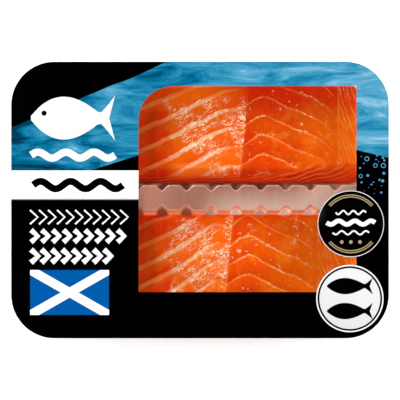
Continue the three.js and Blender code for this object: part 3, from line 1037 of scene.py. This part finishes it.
def model_tray():
    sheet = join([rim, *wells])
    sheet.name = "tray_sheet"
    fill_ledge(sheet)
    floors = [face for face in sheet.data.polygons if len(face.vertices) > FLOOR_LEAST_CORNERS]
    if floors[0].normal.z < 0:
        flip(sheet)
    apply_modifier(sheet, "SOLIDIFY", thickness=SHEET * MM, offset=-1)
    bpy.ops.object.shade_smooth_by_angle(angle=math.radians(35))
    return put_in_pack(sheet, tray_plastic, "clear_tray", "tray")


tray_sheet = model_tray()
tray_size = [round(side / MM, 2) for side in tray_sheet.dimensions]
print("tray", len(tray_sheet.data.polygons), "faces, size", tray_size)

# %% [markdown]
# The printed film. It is glossy black with fields of colour: currents of blue that sweep in from the
# left and fill the upper right, a white band, and a common flag, a white diagonal cross on blue. All
# of it is arithmetic on the place in mm. A field of stretched and bent noise is sorted by a colour
# ramp into light and dark blue currents.
# %% Printed film
PRINT_LIGHT = 1.31
WHITE_BAND = (-94, -30.5, 0.2, 14.6)
FLAG = (-84.1, -45.1, -56.9, -34.7)
FLAG_MIDDLE = (-64.6, -45.8)
FLAG_HALF = (19.6, 11.2)
CURRENTS = [
    (0.30, linear(0, 52, 78, PRINT_LIGHT)),
    (0.40, linear(0, 108, 150, PRINT_LIGHT)),
    (0.50, linear(46, 143, 181, PRINT_LIGHT)),
    (0.60, linear(88, 167, 202, PRINT_LIGHT)),
    (0.72, linear(165, 210, 232, PRINT_LIGHT)),
]


def between(value, low, high, soft=0.12):
    return value.step(low - soft, low + soft) * value.step(high + soft, high - soft)


def field(x, y, left, right, low, high):
    return between(x, left, right) * between(y, low, high)


def blue_mask(x, y, bend):
    upper = x * 0.41 + 74.4 + (bend - 0.5) * 6
    lower_left = ((x + 52) * 0.32 + 15.2).maths("MAXIMUM", WHITE_BAND[3])
    lower_right = (x - 78) * -0.28 + 24.4 + (bend - 0.5) * 3
    left_part = x.step(-10, -10.2) * y.step(lower_left, lower_left + 0.3)
    right_part = x.step(-10.2, -10) * y.step(lower_right, lower_right + 0.3)
    return (left_part + right_part) * y.step(upper, upper - 0.3)


def printed_film():
    material, start = new_material("printed_film")
    place, x, y, _ = place_in_mm(start)
    flow = place.scaled(26, 105, 1, turn=-0.32).noise(1, 8, 0.68, 0.9)
    current = flow + x * 0.0007 - x.step(-40, -95) * 0.08
    blues = current.node("ShaderNodeValToRGB", {"stops": CURRENTS}, {"Fac": current})
    across = abs((x - FLAG_MIDDLE[0]) / FLAG_HALF[0])
    along = abs((y - FLAG_MIDDLE[1]) / FLAG_HALF[1])
    cross = abs(across - along).step(0.235, 0.2)
    flag = cross.mix(linear(0, 89, 165, PRINT_LIGHT), linear(255, 255, 255))
    colour = blue_mask(x, y, place.noise(22, 2)).mix(linear(0, 0, 0), blues)
    colour = field(x, y, *WHITE_BAND).mix(colour, linear(255, 255, 255))
    colour = field(x, y, *WHITE_BAND[:2], 0.15, 0.75).mix(colour, linear(150, 150, 150))
    return finish_material(material, {
        "Base Color": field(x, y, *FLAG).mix(colour, flag),
        "Roughness": 0.12,
        "Specular IOR Level": 0.1,
    })


def dress_node(node, material):
    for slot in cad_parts[node].material_slots:
        slot.material = material


dress_node("lid_print", printed_film())
dress_node("lid_window", window_film)
print("lid film dressed")

# %% [markdown]
# Print is ink that lies on the film, so a motif is a thin plate with an outline. A filled circle with
# as many corners as the outline is reshaped into it and Solidify gives it its thickness upwards. The
# plates of one motif are joined into one piece. Places are read in the photo and turned into mm on
# the film.
# %% Plates of ink
FILM_LEVEL = FILM_TOP / MM
INK = 0.04
PRINT_SCALE = 2.02
PHOTO_MIDDLE = (200, 199.9)


def on_print(px, py):
    """A place read in the photo, in mm on the film."""
    return (px - PHOTO_MIDDLE[0]) / PRINT_SCALE, (PHOTO_MIDDLE[1] - py) / PRINT_SCALE


def plate(name, outline, low):
    bpy.ops.mesh.primitive_circle_add(vertices=len(outline), fill_type="NGON")
    piece = bpy.context.object
    piece.name = name
    for vertex, (x, y) in zip(piece.data.vertices, outline):
        vertex.co = Vector((x, y, low)) * MM
    edit(piece, "SELECT")
    bpy.ops.mesh.normals_make_consistent(inside=False)
    end_edit()
    if piece.data.polygons[0].normal.z < 0:
        flip(piece)
    apply_modifier(piece, "SOLIDIFY", thickness=INK * MM, offset=1)
    return piece


def print_plates(name, outlines, material, slot="printed_film", low=FILM_LEVEL):
    plates = [plate(name, outline, low) for outline in outlines]
    return put_in_pack(join(plates), material, slot)


def ribbon(middle, width):
    """The outline of a stroke of a given width along a line of points."""
    line = np.array(middle)
    along = np.gradient(line, axis=0)
    along /= np.linalg.norm(along, axis=1)[:, None]
    across = np.column_stack([-along[:, 1], along[:, 0]]) * width / 2
    return [tuple(point) for point in np.concatenate([line - across, (line + across)[::-1]])]


def half_rings(x, y, radius, width):
    """A ring as two ribbons that lap a little, because an outline can't have a hole."""
    return [ribbon(arc(x, y, radius, start, start + 2.01, 49), width) for start in (0, 2)]


print("the ink is", INK, "mm thick")

# %% [markdown]
# The inks are plain satin colours, each one read in the photo. Black is glossier, because the black
# film and the black label shine a little.
# %% Inks
def ink(name, colour, roughness=0.35):
    material, _ = new_material(name)
    return finish_material(material, {
        "Base Color": linear(*colour, PRINT_LIGHT),
        "Roughness": roughness,
        "Specular IOR Level": 0.06,
    })


white_ink = ink("white_ink", (252, 252, 252))
black_ink = ink("black_ink", (1, 1, 1), 0.15)
pale_ink = ink("pale_ink", (235, 235, 235))
gold_ink = ink("gold_ink", (180, 158, 112))
blue_ink = ink("blue_ink", (70, 160, 205))
print("inks", [material.name for material in (white_ink, black_ink, pale_ink, gold_ink, blue_ink)])

# %% [markdown]
# The lid's ornaments, all plain ones: a white fish over a white wave, a bold black wave on the white
# band, and rows of chevrons like the flakes of the fish. Each is an outline that a small function
# works out from its place, length and height, in the photo's pixels, with stroke widths in mm.
# %% Ornaments on the film
FISH_BODY = 0.86
TAIL_FROM = 0.78
TAIL_NOTCH = 0.43


def half_height(share):
    """Half the height of the fish at a share of its length, in shares of its height."""
    body = math.sin(math.pi * min(share / FISH_BODY, 1)) ** 0.75 * (1 - 0.35 * share)
    tail = max(0.0, share - TAIL_FROM) / (1 - TAIL_FROM)
    if tail == 0:
        return max(body, 0.09) * 0.5
    return max(body * 0.5, 0.05 + 0.4 * tail**1.3)


def fish_outline(px, py, length, height):
    half = [(share, half_height(share)) for share in np.linspace(0, 1, 25)]
    upper = [on_print(px - length / 2 + share * length, py - size * height) for share, size in half]
    lower = [on_print(px - length / 2 + share * length, py + size * height) for share, size in half]
    notch = on_print(px + length * TAIL_NOTCH, py)
    return lower + [notch] + upper[::-1]


def wave(px, py, length, height, width, turns):
    shares = np.linspace(0, 1, 16 * turns + 1)
    crests = np.sin(shares * turns * 2 * math.pi) * height / 2
    return ribbon([on_print(px + share * length, py - crest) for share, crest in zip(shares, crests)], width)


def chevrons(px, py, length, height, width, number):
    made = []
    for index in range(number):
        left = px + index * (length - height * 0.7) / (number - 1)
        line = [(left, py + height / 2), (left + height * 0.55, py), (left, py - height / 2)]
        made.append(ribbon([on_print(*point) for point in line], width))
    return made


fish_and_wave = [fish_outline(73, 118, 84, 50), wave(31, 155, 84, 6, 3.6, 3)]
rows = chevrons(30, 217, 100, 14, 0.9, 11) + chevrons(31, 236, 95, 12, 2.6, 9)
rows += chevrons(31, 256, 82, 13, 2.8, 8)
ornaments = [
    print_plates("print_fish", fish_and_wave, white_ink),
    print_plates("print_wave", [wave(33, 185, 90, 7.5, 3.6, 3)], black_ink),
    print_plates("print_chevrons", rows, white_ink),
    print_plates("print_fish_eye", [arc(*on_print(44, 113), 1.3, 0, 3.8, 20)], black_ink),
]
print("ornaments", [piece.name for piece in ornaments])

# %% [markdown]
# Round blue bubbles lie on the black at the right. Their places and sizes are drawn at random, with
# a fixed seed so that each run gives the same ones, and a bubble that would touch another is drawn
# again. They grow towards the blue. Large ones are rings and small ones are dots.
# %% Bubbles
BUBBLE_LEFT, BUBBLE_RIGHT = 79.2, 91.5
BUBBLE_LOW, BUBBLE_HIGH = 3, 22
BUBBLES = 26
RING_FROM = 0.75


def bubbles():
    draw = random.Random(5)
    placed, made = [], []
    while len(placed) < BUBBLES:
        x, y = draw.uniform(BUBBLE_LEFT, BUBBLE_RIGHT), draw.uniform(BUBBLE_LOW, BUBBLE_HIGH)
        rise = (y - BUBBLE_LOW) / (BUBBLE_HIGH - BUBBLE_LOW)
        radius = draw.uniform(0.25, 1.3) * (0.4 + 0.6 * rise)
        if all(math.dist((x, y), other[:2]) > radius + other[2] + 0.3 for other in placed):
            placed.append((x, y, radius))
            if radius > RING_FROM:
                made += half_rings(x, y, radius, radius * 0.4)
            else:
                made.append(arc(x, y, radius, 0, 3.8, 16))
    return made


print_plates("print_bubbles", bubbles(), blue_ink)
print(BUBBLES, "bubbles")

# %% [markdown]
# The two round labels. Each is a disc that replaces its plain CAD disc, and its edge is bevelled, so
# that it catches the light as the edge of a real label does.
# %% Label discs
LABEL_HEIGHT = 0.2
LABEL_TOP = FILM_LEVEL + LABEL_HEIGHT
SEAL = (74.7, -11.8)
SEAL_RADIUS = 16.5
COUNT = (74.2, -48.8)
COUNT_RADIUS = 16.7


def disc(name, middle, radius, material, slot, replaced):
    size = {"radius": radius * MM, "depth": LABEL_HEIGHT * MM}
    bpy.ops.mesh.primitive_cylinder_add(vertices=96, **size)
    piece = bpy.context.object
    piece.name = name
    move_points(piece, points_of(piece) + np.array([*middle, FILM_LEVEL + LABEL_HEIGHT / 2]) * MM)
    apply_modifier(piece, "BEVEL", width=0.05 * MM, segments=2, limit_method="ANGLE")
    bpy.ops.object.shade_smooth_by_angle(angle=math.radians(40))
    return put_in_pack(piece, material, slot, replaced)


disc("seal_disc", SEAL, SEAL_RADIUS, black_ink, "black_label", "label_seal")
disc("count_disc", COUNT, COUNT_RADIUS, pale_ink, "white_label", "label_count")
print("labels", SEAL_RADIUS * 2, "and", COUNT_RADIUS * 2, "mm wide")

# %% [markdown]
# The labels' marks lie on the discs as the print lies on the film. The black one has a thin white
# rim, gold arcs and dots and three waves. The pale one has a white rim, a black ring and two fishes,
# one for each fillet.
# %% Marks on the labels
def label_marks(name, outlines, material, slot):
    return print_plates(name, outlines, material, slot, LABEL_TOP)


label_marks("seal_rim", half_rings(*SEAL, 16.3, 0.3), white_ink, "black_label")
golds = []
for radius in (14.3, 13.3):
    golds += [ribbon(arc(*SEAL, radius, start, start + 1.1, 40), 0.5) for start in (0.45, 2.45)]
golds += [arc(SEAL[0] + dx, SEAL[1] - 9, 0.9, 0, 3.9, 20) for dx in (-4.5, 0, 4.5)]
label_marks("seal_gold", golds, gold_ink, "black_label")
waves = []
for rise, length, width in ((5.6, 15, 0.8), (0.6, 24, 2.2), (-4.4, 18, 0.8)):
    shares = np.linspace(-0.5, 0.5, 61)
    line = [(SEAL[0] + s * length, SEAL[1] + rise + 0.9 * math.sin(s * 6 * math.pi)) for s in shares]
    waves.append(ribbon(line, width))
label_marks("seal_waves", waves, white_ink, "black_label")
label_marks("count_rim", half_rings(*COUNT, 16.33, 0.6), white_ink, "white_label")
label_marks("count_ring", half_rings(*COUNT, 15.55, 0.9), black_ink, "white_label")
fishes = [fish_outline(350, py, 46, 19) for py in (286, 311)]
label_marks("count_fishes", fishes, black_ink, "white_label")
print("marks", len(golds), "of gold,", len(waves), "waves and", len(fishes), "fishes")
